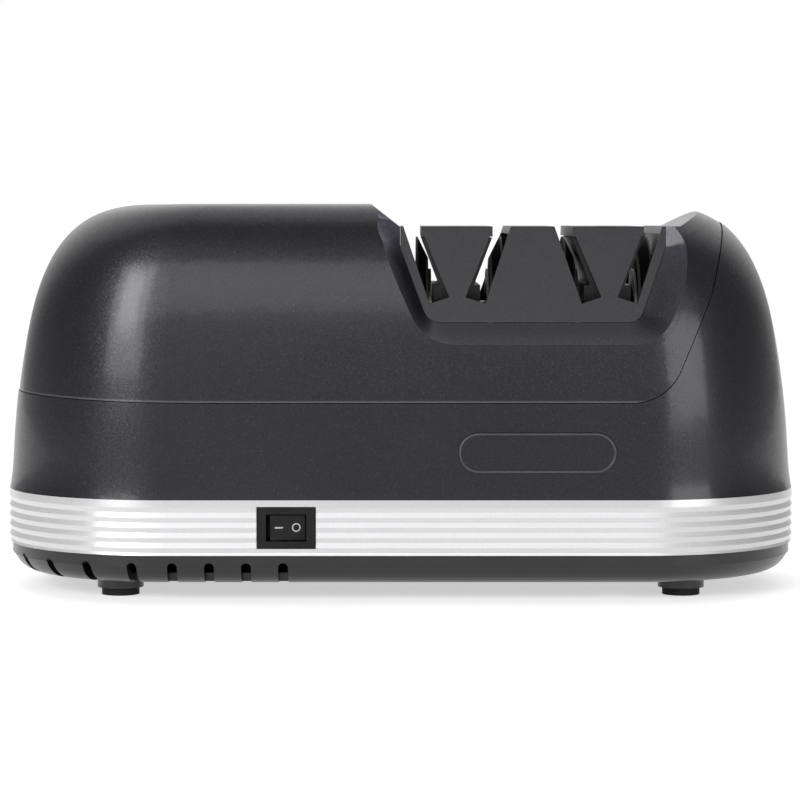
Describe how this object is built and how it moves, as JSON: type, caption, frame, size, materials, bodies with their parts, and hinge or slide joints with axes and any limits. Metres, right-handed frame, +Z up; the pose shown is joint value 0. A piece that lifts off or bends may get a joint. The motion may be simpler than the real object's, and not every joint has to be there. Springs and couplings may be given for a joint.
{
  "type": "electric knife sharpener",
  "caption": "Free-standing electric knife sharpener: rounded motor hump, slotted block with slanted knife slots in two stages, ribbed trim band, rocker switch and low feet.",
  "frame": {"origin": "centre of the footprint, on the plane under the feet", "axes": "+X to the slotted end, along the spindle; +Y to the back; +Z up"},
  "size_m": [0.2146, 0.095, 0.1039],
  "materials": {
    "cover_charcoal": "metallic charcoal, satin gloss",
    "block_charcoal": "metallic charcoal, satin gloss",
    "silver_trim": "silver paint, satin gloss",
    "tray_black": "fine texture",
    "foot_rubber": "matt",
    "guide_black": "smooth",
    "steel": "machined",
    "wheel_dark": "dark bonded abrasive on a metal cone",
    "abrasive_light": "fine abrasive coat",
    "lamination": "stacked sheets",
    "copper": "enamelled wire",
    "bobbin_white": "plain",
    "bronze": "sintered",
    "alloy": "die cast",
    "fan_grey": "plain",
    "switch_black": "plain",
    "spring_steel": "drawn wire"
  },
  "bodies": {
    "housing": {"upper_cover": "cover_charcoal", "lower_housing": "cover_charcoal", "housing_cheek": "cover_charcoal", "trim_band": "silver_trim", "base_tray": "tray_black", "rubber_feet": "foot_rubber", "base_screws": "steel", "slot_block": "block_charcoal", "coarse_blade_guide": "guide_black", "fine_blade_guide": "guide_black", "stator_core": "lamination", "coil_bobbin": "bobbin_white", "coil_winding": "copper", "motor_bracket_left": "alloy", "motor_bracket_right": "alloy", "motor_bush_left": "bronze", "motor_bush_right": "bronze", "motor_screws": "steel", "end_bracket": "alloy", "bracket_screws": "steel", "end_bush": "bronze", "switch_body": "switch_black", "switch_terminals": "bronze", "cord_gland": "foot_rubber"},
    "spindle": {"spindle_shaft": "steel", "rotor_core": "lamination", "cooling_fan": "fan_grey", "stage_spacers": "steel", "spring_collars": "steel", "coarse_wheel_spring_left": "spring_steel", "coarse_wheel_spring_right": "spring_steel", "fine_wheel_spring_left": "spring_steel", "fine_wheel_spring_right": "spring_steel"},
    "rocker": {"switch_rocker": "switch_black"},
    "coarse_wheel_left": {"coarse_wheel_left": "wheel_dark", "coarse_abrasive_ring_left": "abrasive_light"},
    "coarse_wheel_right": {"coarse_wheel_right": "wheel_dark", "coarse_abrasive_ring_right": "abrasive_light"},
    "fine_wheel_left": {"fine_wheel_left": "wheel_dark", "fine_abrasive_ring_left": "abrasive_light"},
    "fine_wheel_right": {"fine_wheel_right": "wheel_dark", "fine_abrasive_ring_right": "abrasive_light"}
  },
  "joints": [
    {"name": "spindle_turn", "type": "hinge", "parent": "housing", "child": "spindle", "pos_m": [0, 0, 0.073], "axis": [1, 0, 0], "continuous": true},
    {"name": "coarse_wheel_left_slide", "type": "slide", "parent": "spindle", "child": "coarse_wheel_left", "axis": [-1, 0, 0], "range_m": [0, 0.001], "stiffness_N_per_m": 2000, "springref_m": -0.001, "deforming": ["coarse_wheel_spring_left"]},
    {"name": "coarse_wheel_right_slide", "type": "slide", "parent": "spindle", "child": "coarse_wheel_right", "axis": [1, 0, 0], "range_m": [0, 0.001], "stiffness_N_per_m": 2000, "springref_m": -0.001, "deforming": ["coarse_wheel_spring_right"]},
    {"name": "fine_wheel_left_slide", "type": "slide", "parent": "spindle", "child": "fine_wheel_left", "axis": [-1, 0, 0], "range_m": [0, 0.001], "stiffness_N_per_m": 2000, "springref_m": -0.001, "deforming": ["fine_wheel_spring_left"]},
    {"name": "fine_wheel_right_slide", "type": "slide", "parent": "spindle", "child": "fine_wheel_right", "axis": [1, 0, 0], "range_m": [0, 0.001], "stiffness_N_per_m": 2000, "springref_m": -0.001, "deforming": ["fine_wheel_spring_right"]},
    {"name": "switch_rock", "type": "hinge", "parent": "housing", "child": "rocker", "pos_m": [-0.0298, -0.0443, 0.0197], "axis": [0, 0, -1], "range_deg": [0, 18]}
  ]
}
